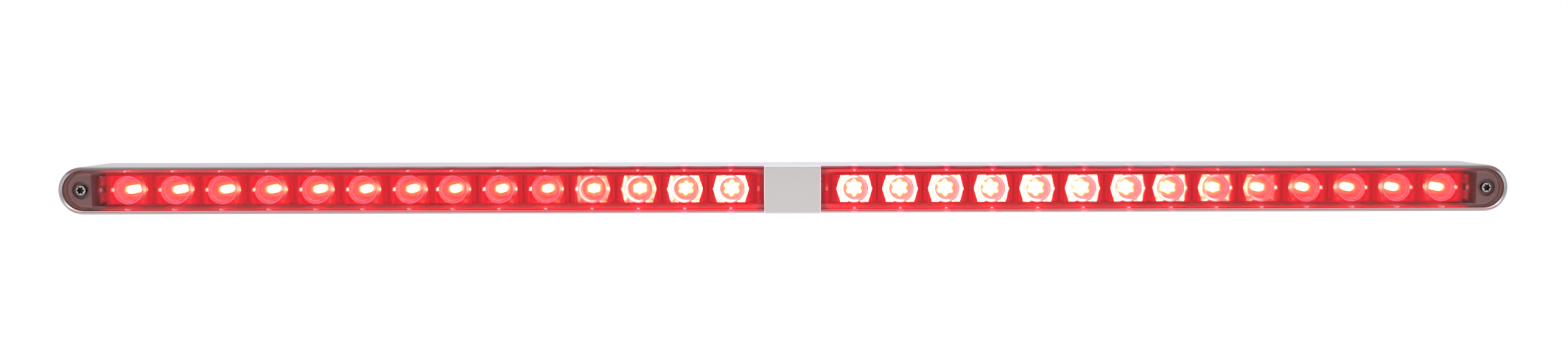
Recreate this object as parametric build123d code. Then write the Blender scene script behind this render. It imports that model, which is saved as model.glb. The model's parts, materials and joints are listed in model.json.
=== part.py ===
"""High-level third brake light: a slim chromed housing that holds two strips of light side by side.

Row frame, in millimetres: X runs along the lamp, Z is up and -Y is the way the light shines. The
origin is the middle of the mounting face, so everything but the mounting studs lies at Y <= 0.

Every piece is drawn with the lamp lying on its back: x along it, y up it and z forward from the
mounting face. stand_up() then turns it into the row frame. "Forward" distances below are that z.
"""
from build123d import *
from math import cos, pi, sin
import os

# ---- Light bar: the standard 12 inch unit, used twice ----
BAR_LENGTH = 304.8
BAR_HEIGHT = 16.6
BAR_DEPTH = 13.0
BAR_GAP = 1.2              # between the two bars' inner ends, under the centre cap
LEDS_PER_MODULE = 7        # a bar holds two modules, each with its own reflector and optics
LED_PITCH = 19.6
MIDDLE_PITCH = 18.2        # between the two LEDs either side of a bar's middle
SCREW_INSET = 6.5          # screw centre to the bar's end
PAD_LENGTH = 10.8          # solid end of the base that the screw goes through
BAR_END_CLEARANCE = 0.2

# ---- Housing ----
WALL = 1.5
OPENING_HEIGHT = 17.0
SHELL_DEPTH = 25.0
FLOOR_THICKNESS = 2.0
RIM_ROUND = 0.7            # outer front edge
RIM_EASE = 0.45            # inner front edge
LENS_RECESS = 1.0          # lens face below the rim
GASKET_THICKNESS = 1.5

# ---- Forward distances of the main faces ----
SHELL_BACK = GASKET_THICKNESS
RIM_FRONT = SHELL_BACK + SHELL_DEPTH
LENS_FRONT = RIM_FRONT - LENS_RECESS
BAR_BACK = LENS_FRONT - BAR_DEPTH
FLOOR_FRONT = BAR_BACK
FLOOR_BACK = FLOOR_FRONT - FLOOR_THICKNESS

# ---- Sizes that follow ----
BAR_CENTRE = (BAR_GAP + BAR_LENGTH) / 2
OPENING_LENGTH = 2 * BAR_LENGTH + BAR_GAP + 2 * BAR_END_CLEARANCE
SHELL_LENGTH = OPENING_LENGTH + 2 * WALL
SHELL_HEIGHT = OPENING_HEIGHT + 2 * WALL

# ---- Lens and base ----
LENS_THICKNESS = 1.6
SKIRT_DROP = 3.5           # lens face to the seam with the base
SIDE_WALL = 1.2
SLIDING_GAP = 0.1
BASE_FLOOR = 1.5
BAR_EDGE_ROUND = 0.5
LENS_BACK = LENS_FRONT - LENS_THICKNESS
SEAM = LENS_FRONT - SKIRT_DROP
BASE_FLOOR_FRONT = BAR_BACK + BASE_FLOOR
LENS_RIB_WIDTH = 1.3
LENS_RIB_HEIGHT = 11.8
LENS_RIB_DROP = 1.5
LENS_RIB_INSET = 14.0      # rib centre to the bar's end
FINGER_LENGTH = 2.4        # two short ribs that run from it towards the screw
FINGER_SPREAD = 1.35
FINGER_WIDTH = 0.5

# ---- Screws that hold the bars ----
POCKET_RADIUS = 3.8
POCKET_DEPTH = 3.0
HEAD_RADIUS = 2.05
HEAD_HEIGHT = 1.9
HEAD_ROUND = 0.4
SHANK_RADIUS = 1.2
SHANK_LENGTH = 15.5
LOBE_CIRCLE = 1.2          # six-lobe drive: centre circle of the lobes
LOBE_RADIUS = 0.42
LOBE_CORE = 1.15
LOBE_DEPTH = 1.2
HOLE_RADIUS = 1.5
INSERT_RADIUS = 1.9
INSERT_LENGTH = 5.5
INSERT_BORE = 1.25
BOSS_RADIUS = 3.5
BOSS_BACK = 5.5
HEAD_SEAT = LENS_FRONT - POCKET_DEPTH

# ---- Circuit board, LEDs and resistors ----
BOARD_LENGTH = 276.0
BOARD_HEIGHT = 12.0
BOARD_THICKNESS = 1.6
BOARD_STANDOFF = 1.2
BOARD_BACK = BASE_FLOOR_FRONT + BOARD_STANDOFF
BOARD_FRONT = BOARD_BACK + BOARD_THICKNESS
STANDOFF_LENGTH = 3.0
LED_SIDE = 5.0
LED_BODY_HEIGHT = 1.4
LED_CORNER = 0.6
DOME_RADIUS = 2.0
DOME_HEIGHT = 1.6
RESISTOR_SIZE = (3.2, 1.6, 0.6)

# ---- Reflector strip: seven hexagonal funnels ----
SHOULDER_HALF = 9.3        # half the width of one cell's lower step, to the next cell's gap
SHOULDER_HALF_AT_MIDDLE = 8.9
SHOULDER_HEIGHT = 11.4
CELL_HALF = 7.7            # half the width of the block around the funnel
CELL_HEIGHT = 11.8
STRIP_HEIGHT = 13.4
STRIP_BACK = BOARD_FRONT
STRIP_WEB = 2.2            # thickness of the web that joins the blocks
CELL_FRONT = LENS_BACK - 1.3
SHOULDER_FRONT = CELL_FRONT - 1.4
HEX_POINT = 7.6            # half width of the hexagon, at its points
HEX_SHOULDER = 5.9         # half width of its flat top
HEX_HALF_HEIGHT = 5.7
FUNNEL_SHRINK = 0.5        # the hexagon at the LED, as a share of the front one
STRIP_END = 11.3           # last LED centre to the strip's outer end
LUG_LENGTH = 1.7
LUG_HALF_NOTCH = 1.5
LUG_OUTER = 5.3
STRIP_CHAMFER = 1.2
LED_WINDOW = 6.0

# ---- Optics strip: seven round collimators on two rails ----
OPTIC_RADIUS = 5.9
OPTIC_FLANGE = 0.8
OPTIC_FRONT = CELL_FRONT + OPTIC_FLANGE
OPTIC_THROAT = 2.9
OPTIC_BACK = BOARD_FRONT + LED_BODY_HEIGHT + 0.3
RING_INNER = 4.7
RING_STEP = 0.35
CAVITY_RADIUS = 2.3
CAVITY_DEPTH = 1.9
RAIL_INNER = 5.95          # the rails run above and below the reflector's cells
RAIL_OUTER = 6.6
RAIL_HEIGHT = 0.6
TAB_WIDTH = 3.0            # joins each collimator to the rails

# ---- Centre cap ----
CAP_WIDTH = 24.2
CAP_OVERHANG = 0.2         # past the housing's top and bottom
CAP_FACE = 1.4
CAP_ROUND = 0.55
CAP_PLUG_DEPTH = 0.7
CAP_PLUG_GAP = 0.15
TONGUE_WIDTH = 5.0
TONGUE_THICKNESS = 1.0
TONGUE_CENTRE = 7.4        # above and below the middle
TONGUE_TIP = 13.5
SOCKET_HALF_WIDTH = 3.3
SOCKET_INNER = 6.3
SOCKET_FRONT = 19.0
SOCKET_GAP = 0.1

# ---- Back plate, its screws and studs, and the gasket ----
PLATE_THICKNESS = 1.2
PLATE_GAP = 0.2
PLATE_FRONT = SHELL_BACK + PLATE_THICKNESS
PLATE_SCREW_X = (-285.0, -150.0, -20.0, 20.0, 150.0, 285.0)
PLATE_BOSS_RADIUS = 3.0
PILOT_RADIUS = 1.1
PILOT_DEPTH = 7.0
PLATE_HOLE_RADIUS = 1.6
PLATE_HEAD_RADIUS = 2.4
PLATE_HEAD_HEIGHT = 1.1
PLATE_SHANK_RADIUS = 1.05
PLATE_SHANK_LENGTH = 7.0
SLOT_WIDTH = 0.7
STUD_X = 190.0
STUD_RADIUS = 2.5
STUD_REACH = 16.0          # past the mounting face
STUD_COLLAR_RADIUS = 2.9   # pressed into the plate
STUD_FLANGE_RADIUS = 4.2
STUD_FLANGE = 1.2
STUD_TIP_CHAMFER = 0.6
GASKET_INSET = 0.3
GASKET_HOLE_RADIUS = 3.2
GASKET_STUD_RADIUS = 4.2
GROMMET_X = 47.0
GROMMET_HOLE_RADIUS = 4.0
GROMMET_RADIUS = 5.0
GROMMET_BORE = 2.25
GROMMET_BACK = 0.2
GROMMET_LIP = 1.1

# ---- Wiring inside the housing ----
GLAND_X = 55.7             # where each bar's leads leave its back
GLAND_RADIUS = 2.8
GLAND_FLANGE_RADIUS = 3.6
GLAND_FLANGE = 0.8
GLAND_BACK = FLOOR_BACK - 1.2
LEAD_RADIUS = 0.7
LEAD_SPREAD = 1.3          # each lead's height above or below the middle, in the gland
LEAD_SPREAD_RUN = 12.0     # length in which the leads spread to the poles' height
LEAD_PLANE = 6.2
LEAD_BEND = 2.8
BLOCK_X = 32.0
BLOCK_SIZE = (14.0, 14.0, 6.0)
BLOCK_POLE = 4.6           # each pole's height above or below the middle, clear of the bosses
BLOCK_ENTRY = 1.2
BLOCK_ENTRY_DEPTH = 3.0
CLAMP_RADIUS = 1.5
CLAMP_DEPTH = 2.0

MODULE_OFFSETS = [MIDDLE_PITCH / 2 + LED_PITCH * k for k in range(LEDS_PER_MODULE)]
STANDOFFS = [end * MODULE_OFFSETS[k] for end in (-1, 1) for k in (1, 3, 5)]
SCREW_X = BAR_LENGTH / 2 - SCREW_INSET
LEAD_X = BAR_CENTRE - GLAND_X  # the leads' exit, from the bar's own middle
EPS = 0.01


def stand_up(shape):
    """Turns a piece that lies on its back into the row frame."""
    return Plane.XZ.location * shape


def slab(length, height, back, front):
    """A plate with half-round ends, between two forward distances."""
    return Pos(0, 0, back) * extrude(SlotOverall(length, height), front - back)


def block(x, y, z, size_x, size_y, back, front):
    """A box centred on x, y and between two forward distances from z."""
    return Pos(x, y, z + (back + front) / 2) * Box(size_x, size_y, front - back)


def rod(x, y, radius, back, front):
    """A round bar along the forward direction."""
    return Pos(x, y, (back + front) / 2) * Cylinder(radius, front - back)


def turned(points):
    """A solid turned about the forward axis from (radius, forward) points."""
    outline = Polyline([(r, 0, f) for r, f in points], close=True)
    return revolve(make_face(outline), Axis.Z)


def top_edges(shape):
    return shape.edges().group_by(Axis.Z)[-1]


# ---------------------------------------------------------------- housing
def screw_places():
    """The four screws' x positions: outer left, inner left, inner right, outer right."""
    return [side * (BAR_CENTRE + end * SCREW_X) for side in (-1, 1) for end in (side, -side)]


def housing():
    shell = slab(SHELL_LENGTH, SHELL_HEIGHT, SHELL_BACK, RIM_FRONT)
    shell = fillet(top_edges(shell), RIM_ROUND)
    pocket = slab(OPENING_LENGTH, OPENING_HEIGHT, FLOOR_FRONT, RIM_FRONT)
    shell -= pocket
    inner_rim = shell.edges().filter_by_position(
        Axis.Z, RIM_FRONT - EPS, RIM_FRONT + EPS
    ).filter_by(lambda e: abs(e.bounding_box().max.Y) < OPENING_HEIGHT / 2 + EPS)
    shell = chamfer(inner_rim, RIM_EASE)
    shell -= slab(OPENING_LENGTH, OPENING_HEIGHT, SHELL_BACK, FLOOR_BACK)
    for x in screw_places():
        shell += rod(x, 0, BOSS_RADIUS, BOSS_BACK, FLOOR_BACK + EPS)
        shell -= rod(x, 0, INSERT_RADIUS, BAR_BACK - INSERT_LENGTH - 0.5, FLOOR_FRONT)
    for x in PLATE_SCREW_X:
        shell += rod(x, 0, PLATE_BOSS_RADIUS, PLATE_FRONT, FLOOR_BACK + EPS)
        shell -= rod(x, 0, PILOT_RADIUS, PLATE_FRONT, PLATE_FRONT + PILOT_DEPTH)
    for side in (-1, 1):
        shell -= rod(side * GLAND_X, 0, GLAND_RADIUS, FLOOR_BACK, FLOOR_FRONT)
        shell += cap_socket(side)
    return shell


def cap_socket(side):
    """A pocket by the top or bottom wall that the centre cap's tongue pushes into."""
    outer = OPENING_HEIGHT / 2 + EPS
    height = outer - SOCKET_INNER
    socket = block(
        0, side * (outer + SOCKET_INNER) / 2, 0, 2 * SOCKET_HALF_WIDTH, height,
        FLOOR_FRONT - EPS, SOCKET_FRONT,
    )
    slot = block(
        0, side * TONGUE_CENTRE, 0, TONGUE_WIDTH + 2 * SOCKET_GAP, TONGUE_THICKNESS + 2 * SOCKET_GAP,
        FLOOR_FRONT + SOCKET_GAP, SOCKET_FRONT,
    )
    return socket - slot


def centre_cap():
    height = SHELL_HEIGHT + 2 * CAP_OVERHANG
    face = block(0, 0, 0, CAP_WIDTH, height, RIM_FRONT, RIM_FRONT + CAP_FACE)
    upright = face.edges().filter_by(Axis.Z)
    face = fillet(upright, CAP_ROUND)
    face = fillet(top_edges(face), CAP_ROUND)
    plug_height = OPENING_HEIGHT - 2 * CAP_PLUG_GAP
    face += block(
        0, 0, 0, CAP_WIDTH - 2 * WALL, plug_height, RIM_FRONT - CAP_PLUG_DEPTH, RIM_FRONT + EPS
    )
    for side in (-1, 1):
        tongue = block(
            0, side * TONGUE_CENTRE, 0, TONGUE_WIDTH, TONGUE_THICKNESS, TONGUE_TIP, RIM_FRONT
        )
        tip = tongue.edges().group_by(Axis.Z)[0].filter_by(Axis.X)
        face += chamfer(tip, TONGUE_THICKNESS / 4)
    return face


# ---------------------------------------------------------------- light bar, drawn about its own middle
def pad_plate(end, inset, length, back, front):
    """The half-round end of the bar, less inset all round, and length long."""
    full = slab(BAR_LENGTH - 2 * inset, BAR_HEIGHT - 2 * inset, back, front)
    keep = block(
        end * (BAR_LENGTH / 2 - length / 2), 0, 0, length, BAR_HEIGHT, back - EPS, front + EPS
    )
    return full & keep


def base():
    tray = slab(BAR_LENGTH, BAR_HEIGHT, BAR_BACK, SEAM)
    tray = fillet(tray.edges().group_by(Axis.Z)[0], BAR_EDGE_ROUND)
    inner_height = BAR_HEIGHT - 2 * SIDE_WALL
    tray -= slab(BAR_LENGTH - 2 * SIDE_WALL, inner_height, BASE_FLOOR_FRONT, SEAM)
    for end in (-1, 1):
        inset = SIDE_WALL + SLIDING_GAP
        tray += pad_plate(end, inset, PAD_LENGTH, BASE_FLOOR_FRONT - EPS, LENS_BACK - SLIDING_GAP)
        tray += pad_plate(end, SIDE_WALL / 2, PAD_LENGTH, BASE_FLOOR_FRONT - EPS, SEAM)
        x = end * SCREW_X
        tray -= rod(x, 0, POCKET_RADIUS, HEAD_SEAT, LENS_BACK)
        tray -= rod(x, 0, HOLE_RADIUS, BAR_BACK, LENS_BACK)
    for x in STANDOFFS:
        tray += block(
            x, 0, 0, STANDOFF_LENGTH, inner_height + EPS, BASE_FLOOR_FRONT - EPS, BOARD_BACK
        )
    return tray - rod(LEAD_X, 0, GLAND_RADIUS, BAR_BACK, BASE_FLOOR_FRONT)


def lens():
    cover = slab(BAR_LENGTH, BAR_HEIGHT, SEAM, LENS_FRONT)
    cover = fillet(top_edges(cover), BAR_EDGE_ROUND)
    cover -= slab(BAR_LENGTH - 2 * SIDE_WALL, BAR_HEIGHT - 2 * SIDE_WALL, SEAM, LENS_BACK)
    rib_back = LENS_BACK - LENS_RIB_DROP
    for end in (-1, 1):
        rib_x = BAR_LENGTH / 2 - LENS_RIB_INSET
        finger_x = rib_x + FINGER_LENGTH / 2
        cover += block(end * rib_x, 0, 0, LENS_RIB_WIDTH, LENS_RIB_HEIGHT, rib_back, LENS_BACK + EPS)
        for y in (-FINGER_SPREAD, FINGER_SPREAD):
            cover += block(
                end * finger_x, y, 0, FINGER_LENGTH, FINGER_WIDTH, rib_back, LENS_BACK + EPS
            )
        cover -= rod(end * SCREW_X, 0, POCKET_RADIUS, LENS_BACK, LENS_FRONT)
    return cover


def board():
    plate = block(0, 0, 0, BOARD_LENGTH, BOARD_HEIGHT, BOARD_BACK, BOARD_FRONT)
    for side in (-1, 1):
        plate -= rod(LEAD_X, side * LEAD_SPREAD, LEAD_RADIUS, BOARD_BACK, BOARD_FRONT)
    return plate


def led():
    """One surface-mount emitter with its silicone dome, at x = 0."""
    front = BOARD_FRONT + LED_BODY_HEIGHT
    body = block(0, 0, 0, LED_SIDE, LED_SIDE, BOARD_FRONT, front)
    body = chamfer(body.edges().filter_by(Axis.Z), LED_CORNER)
    ball = (DOME_RADIUS**2 + DOME_HEIGHT**2) / (2 * DOME_HEIGHT)
    dome = Pos(0, 0, front + DOME_HEIGHT - ball) * Sphere(ball)
    above = block(0, 0, 0, LED_SIDE, LED_SIDE, front - EPS, front + DOME_HEIGHT + EPS)
    return body + (dome & above)


def resistors():
    """Chip resistors on the board's back, between the LEDs, except where the leads come in."""
    length, width, height = RESISTOR_SIZE
    places = [
        end * (offset + LED_PITCH / 2) for end in (-1, 1) for offset in MODULE_OFFSETS[:-1]
    ]
    return [
        block(x, 0, 0, length, width, BOARD_BACK - height, BOARD_BACK)
        for x in places
        if abs(x - LEAD_X) > GLAND_FLANGE_RADIUS + length / 2
    ]


def hexagon(scale=1.0):
    right = [
        (HEX_SHOULDER, HEX_HALF_HEIGHT), (HEX_POINT, 0), (HEX_SHOULDER, -HEX_HALF_HEIGHT),
    ]
    left = [(-x, y) for x, y in reversed(right)]
    return make_face(Polyline([(x * scale, y * scale) for x, y in right + left], close=True))


def funnel():
    """The six-sided mirror around one LED, as the solid to cut away, at x = 0."""
    floor = BOARD_FRONT + LED_BODY_HEIGHT
    small, large = hexagon(FUNNEL_SHRINK), hexagon()
    return loft([Pos(0, 0, floor) * small, Pos(0, 0, CELL_FRONT) * large])


def reflector():
    """One module's strip, with x measured from the bar's middle towards its end."""
    first, last = MODULE_OFFSETS[0], MODULE_OFFSETS[-1]
    start, stop = first - SHOULDER_HALF_AT_MIDDLE, last + STRIP_END
    web_front = STRIP_BACK + STRIP_WEB
    middle, length = (start + stop) / 2, stop - start
    strip = block(middle, 0, 0, length, STRIP_HEIGHT, STRIP_BACK, web_front)
    corners = strip.edges().filter_by(Axis.Z).group_by(Axis.X)[-1]
    strip = chamfer(corners, STRIP_CHAMFER)
    lug_height = LUG_OUTER - LUG_HALF_NOTCH
    for side in (-1, 1):
        y = side * (LUG_OUTER + LUG_HALF_NOTCH) / 2
        strip += block(
            stop + LUG_LENGTH / 2 - EPS, y, 0, LUG_LENGTH, lug_height, STRIP_BACK, web_front
        )
    for x in MODULE_OFFSETS:
        left = x - (SHOULDER_HALF_AT_MIDDLE if x == first else SHOULDER_HALF)
        right = x + SHOULDER_HALF
        strip += block(
            (left + right) / 2, 0, 0, right - left, SHOULDER_HEIGHT, web_front - EPS, SHOULDER_FRONT
        )
        strip += block(x, 0, 0, 2 * CELL_HALF, CELL_HEIGHT, web_front - EPS, CELL_FRONT)
        strip -= Pos(x, 0, 0) * funnel()
        strip -= block(x, 0, 0, LED_WINDOW, LED_WINDOW, STRIP_BACK, STRIP_BACK + LED_BODY_HEIGHT + EPS)
    return strip


def optic():
    """One clear collimator: a tapered body with a well for the LED and a raised ring in front."""
    well_top = OPTIC_BACK + CAVITY_DEPTH
    disc = OPTIC_FRONT - RING_STEP
    return turned([
        (0, well_top),
        (CAVITY_RADIUS * 0.6, well_top - 0.25),
        (CAVITY_RADIUS, OPTIC_BACK),
        (OPTIC_THROAT, OPTIC_BACK),
        (OPTIC_THROAT + 1.5, OPTIC_BACK + 2.6),
        (OPTIC_RADIUS - 0.55, CELL_FRONT),
        (OPTIC_RADIUS, CELL_FRONT + SLIDING_GAP),
        (OPTIC_RADIUS, OPTIC_FRONT),
        (RING_INNER, OPTIC_FRONT),
        (RING_INNER - 0.2, disc),
        (0, disc),
    ])


def optics():
    """One module's collimators, moulded with two thin rails that join them."""
    first, last = MODULE_OFFSETS[0], MODULE_OFFSETS[-1]
    strip = Pos(first, 0, 0) * optic()
    for x in MODULE_OFFSETS[1:]:
        strip += Pos(x, 0, 0) * optic()
    rail_back = CELL_FRONT + SLIDING_GAP
    rail_front = rail_back + RAIL_HEIGHT
    rail_length = last - first + TAB_WIDTH
    for side in (-1, 1):
        rail_y = side * (RAIL_INNER + RAIL_OUTER) / 2
        strip += block(
            (first + last) / 2, rail_y, 0, rail_length, RAIL_OUTER - RAIL_INNER, rail_back, rail_front
        )
        for x in MODULE_OFFSETS:
            tab_y = side * (RING_INNER + RAIL_OUTER) / 2
            strip += block(
                x, tab_y, 0, TAB_WIDTH, RAIL_OUTER - RING_INNER, rail_back, rail_front
            )
    return strip


def lead_gland():
    """Rubber plug that carries the two leads through the base and the housing's floor."""
    plug = rod(LEAD_X, 0, GLAND_RADIUS, GLAND_BACK, BASE_FLOOR_FRONT)
    plug += rod(
        LEAD_X, 0, GLAND_FLANGE_RADIUS, BASE_FLOOR_FRONT, BASE_FLOOR_FRONT + GLAND_FLANGE
    )
    for side in (-1, 1):
        plug -= rod(LEAD_X, side * LEAD_SPREAD, LEAD_RADIUS, GLAND_BACK, BOARD_BACK)
    return plug


# ---------------------------------------------------------------- fasteners and back
def six_lobe():
    lobes = Circle(LOBE_CORE)
    for k in range(6):
        angle = pi * k / 3
        lobes += Pos(LOBE_CIRCLE * cos(angle), LOBE_CIRCLE * sin(angle)) * Circle(LOBE_RADIUS)
    return lobes


def bar_screw():
    """Pan-head screw with a six-lobe drive, at x = 0."""
    head = rod(0, 0, HEAD_RADIUS, HEAD_SEAT, HEAD_SEAT + HEAD_HEIGHT)
    head = fillet(top_edges(head), HEAD_ROUND)
    drive_floor = HEAD_SEAT + HEAD_HEIGHT - LOBE_DEPTH
    head -= Pos(0, 0, drive_floor) * extrude(six_lobe(), LOBE_DEPTH)
    shank = rod(0, 0, SHANK_RADIUS, HEAD_SEAT - SHANK_LENGTH, HEAD_SEAT + EPS)
    shank = chamfer(shank.edges().group_by(Axis.Z)[0], SHANK_RADIUS / 3)
    return head + shank


def screw_insert():
    front = BAR_BACK - 0.4
    return rod(0, 0, INSERT_RADIUS, front - INSERT_LENGTH, front) - rod(
        0, 0, INSERT_BORE, front - INSERT_LENGTH, front
    )


def plate_screw():
    """Slotted self-tapping screw, head to the back, at x = 0."""
    head = rod(0, 0, PLATE_HEAD_RADIUS, SHELL_BACK - PLATE_HEAD_HEIGHT, SHELL_BACK)
    head = fillet(head.edges().group_by(Axis.Z)[0], PLATE_HEAD_HEIGHT * 0.4)
    slot_front = SHELL_BACK - PLATE_HEAD_HEIGHT / 2
    head -= block(
        0, 0, 0, 2 * PLATE_HEAD_RADIUS, SLOT_WIDTH, SHELL_BACK - PLATE_HEAD_HEIGHT - EPS, slot_front
    )
    shank = rod(0, 0, PLATE_SHANK_RADIUS, SHELL_BACK - EPS, SHELL_BACK + PLATE_SHANK_LENGTH)
    return head + chamfer(top_edges(shank), PLATE_SHANK_RADIUS / 2)


def back_plate():
    length, height = OPENING_LENGTH - 2 * PLATE_GAP, OPENING_HEIGHT - 2 * PLATE_GAP
    plate = slab(length, height, SHELL_BACK, PLATE_FRONT)
    for x in PLATE_SCREW_X:
        plate -= rod(x, 0, PLATE_HOLE_RADIUS, SHELL_BACK, PLATE_FRONT)
    for x in (-STUD_X, STUD_X):
        plate -= rod(x, 0, STUD_COLLAR_RADIUS, SHELL_BACK, PLATE_FRONT)
    return plate - rod(GROMMET_X, 0, GROMMET_HOLE_RADIUS, SHELL_BACK, PLATE_FRONT)


def mounting_stud():
    """Flanged stud pressed through the back plate, at x = 0."""
    shank = rod(0, 0, STUD_RADIUS, -STUD_REACH, SHELL_BACK)
    shank = chamfer(shank.edges().group_by(Axis.Z)[0], STUD_TIP_CHAMFER)
    collar = rod(0, 0, STUD_COLLAR_RADIUS, SHELL_BACK, PLATE_FRONT)
    return shank + collar + rod(0, 0, STUD_FLANGE_RADIUS, PLATE_FRONT, PLATE_FRONT + STUD_FLANGE)


def gasket():
    pad = slab(SHELL_LENGTH - 2 * GASKET_INSET, SHELL_HEIGHT - 2 * GASKET_INSET, 0, SHELL_BACK)
    for x in PLATE_SCREW_X:
        pad -= rod(x, 0, GASKET_HOLE_RADIUS, 0, SHELL_BACK)
    for x in (-STUD_X, STUD_X):
        pad -= rod(x, 0, GASKET_STUD_RADIUS, 0, SHELL_BACK)
    return pad - rod(GROMMET_X, 0, GROMMET_RADIUS + GASKET_INSET, 0, SHELL_BACK)


def grommet():
    """Rubber ring that grips the edge of the plate's hole, for the vehicle's cable."""
    front = PLATE_FRONT + GROMMET_LIP
    ring = rod(GROMMET_X, 0, GROMMET_RADIUS, GROMMET_BACK, SHELL_BACK)
    ring += rod(GROMMET_X, 0, GROMMET_HOLE_RADIUS, SHELL_BACK - EPS, PLATE_FRONT + EPS)
    ring += rod(GROMMET_X, 0, GROMMET_RADIUS, PLATE_FRONT, front)
    ring = fillet(ring.edges().group_by(Axis.Z)[0], GROMMET_BACK)
    return ring - rod(GROMMET_X, 0, GROMMET_BORE, GROMMET_BACK, front)


# ---------------------------------------------------------------- wiring
def terminal_block():
    length, height, depth = BLOCK_SIZE
    back = FLOOR_BACK - depth
    body = block(BLOCK_X, 0, 0, length, height, back, FLOOR_BACK)
    body = fillet(body.edges().group_by(Axis.Z)[0], 0.4)
    for pole in (-BLOCK_POLE, BLOCK_POLE):
        for end in (-1, 1):
            entry_x = BLOCK_X + end * (length / 2 - BLOCK_ENTRY_DEPTH / 2)
            body -= Pos(entry_x, pole, LEAD_PLANE) * Rot(0, 90, 0) * Cylinder(
                BLOCK_ENTRY, BLOCK_ENTRY_DEPTH
            )
        body -= rod(BLOCK_X, pole, CLAMP_RADIUS, back, back + CLAMP_DEPTH)
    return body


def terminal_screw(pole):
    back = FLOOR_BACK - BLOCK_SIZE[2]
    screw = rod(BLOCK_X, pole, CLAMP_RADIUS, back + CLAMP_DEPTH / 3, back + CLAMP_DEPTH)
    return screw - block(
        BLOCK_X, pole, 0, 2 * CLAMP_RADIUS, SLOT_WIDTH, back, back + CLAMP_DEPTH * 2 / 3
    )


def lead(side, pole):
    """One lead from a bar's board, through its gland and along the cavity to the terminal block.

    side is -1 for the left bar and 1 for the right; pole is -1 for ground and 1 for supply.
    """
    end_x = BLOCK_X + side * (BLOCK_SIZE[0] / 2 - BLOCK_ENTRY_DEPTH)
    spread, inlet = pole * LEAD_SPREAD, pole * BLOCK_POLE
    points = [
        (side * GLAND_X, spread, BOARD_FRONT),
        (side * GLAND_X, spread, LEAD_PLANE),
        (side * (GLAND_X - LEAD_SPREAD_RUN), inlet, LEAD_PLANE),
        (end_x, inlet, LEAD_PLANE),
    ]
    path = FilletPolyline(*points, radius=LEAD_BEND)
    return sweep(Plane(origin=path @ 0, z_dir=path % 0) * Circle(LEAD_RADIUS), path)


# ---------------------------------------------------------------- putting it together
def mirrored_end(shape, end):
    """A module drawn towards the bar's +x end, or turned half round to the other end."""
    return shape if end > 0 else Rot(0, 0, 180) * shape


def placed(shape, side):
    """A bar piece moved to its side. Both bars are the same part, one turned half round."""
    return Pos(side * BAR_CENTRE, 0, 0) * (shape if side < 0 else Rot(0, 0, 180) * shape)


def light_bar(side_name, side):
    """Every piece of one bar. Drawn for the left, so its +x end is the inner one."""
    reflector_strip, optics_strip, emitter = reflector(), optics(), led()
    pieces = {
        "base": base(),
        "lens": lens(),
        "circuit_board": board(),
        "resistors": resistors(),
        "lead_gland": lead_gland(),
    }
    for end_name, end in (("outer", -1), ("inner", 1)):
        pieces[f"{end_name}_reflector"] = mirrored_end(reflector_strip, end)
        pieces[f"{end_name}_optics"] = mirrored_end(optics_strip, end)
    places = [-x for x in reversed(MODULE_OFFSETS)] + MODULE_OFFSETS
    for number, x in enumerate(places, 1):
        pieces[f"led_{number:02d}"] = Pos(x, 0, 0) * emitter
    named = {}
    for name, shape in pieces.items():
        solids = shape if isinstance(shape, list) else [shape]
        named[f"{side_name}_{name}"] = [placed(s, side) for s in solids]
    return named


def all_pieces():
    outer_left, inner_left, inner_right, outer_right = screw_places()
    screw, insert, stud, rear_screw = bar_screw(), screw_insert(), mounting_stud(), plate_screw()
    pieces = {
        "housing": [housing()],
        "centre_cap": [centre_cap()],
        "back_plate": [back_plate()],
        "gasket": [gasket()],
        "plate_screws": [Pos(x, 0, 0) * rear_screw for x in PLATE_SCREW_X],
        "mounting_studs": [Pos(x, 0, 0) * stud for x in (-STUD_X, STUD_X)],
        "grommet": [grommet()],
        "terminal_block": [terminal_block()],
        "terminal_screws": [terminal_screw(pole) for pole in (-BLOCK_POLE, BLOCK_POLE)],
        "supply_leads": [lead(side, 1) for side in (-1, 1)],
        "ground_leads": [lead(side, -1) for side in (-1, 1)],
        "outer_screws": [Pos(x, 0, 0) * screw for x in (outer_left, outer_right)],
        "inner_screws": [Pos(x, 0, 0) * screw for x in (inner_left, inner_right)],
        "screw_inserts": [Pos(x, 0, 0) * insert for x in screw_places()],
    }
    pieces.update(light_bar("left", -1))
    pieces.update(light_bar("right", 1))
    return pieces


def main():
    os.makedirs("parts", exist_ok=True)
    for name, solids in all_pieces().items():
        found = [s for shape in solids for s in stand_up(shape).solids()]
        export_step(found[0] if len(found) == 1 else Compound(children=found), f"parts/{name}.step")


main()
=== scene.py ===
# %% [markdown]
# # A lit third brake light
#
# A third brake light sits high at the back of a vehicle. This one is a long chrome housing with two
# clear-fronted light bars in it, end to end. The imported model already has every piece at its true
# size. Here we give each one its finish, and rebuild the pieces behind the lens, where the light is
# made, with finer shapes than a machine drawing needs.

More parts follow.
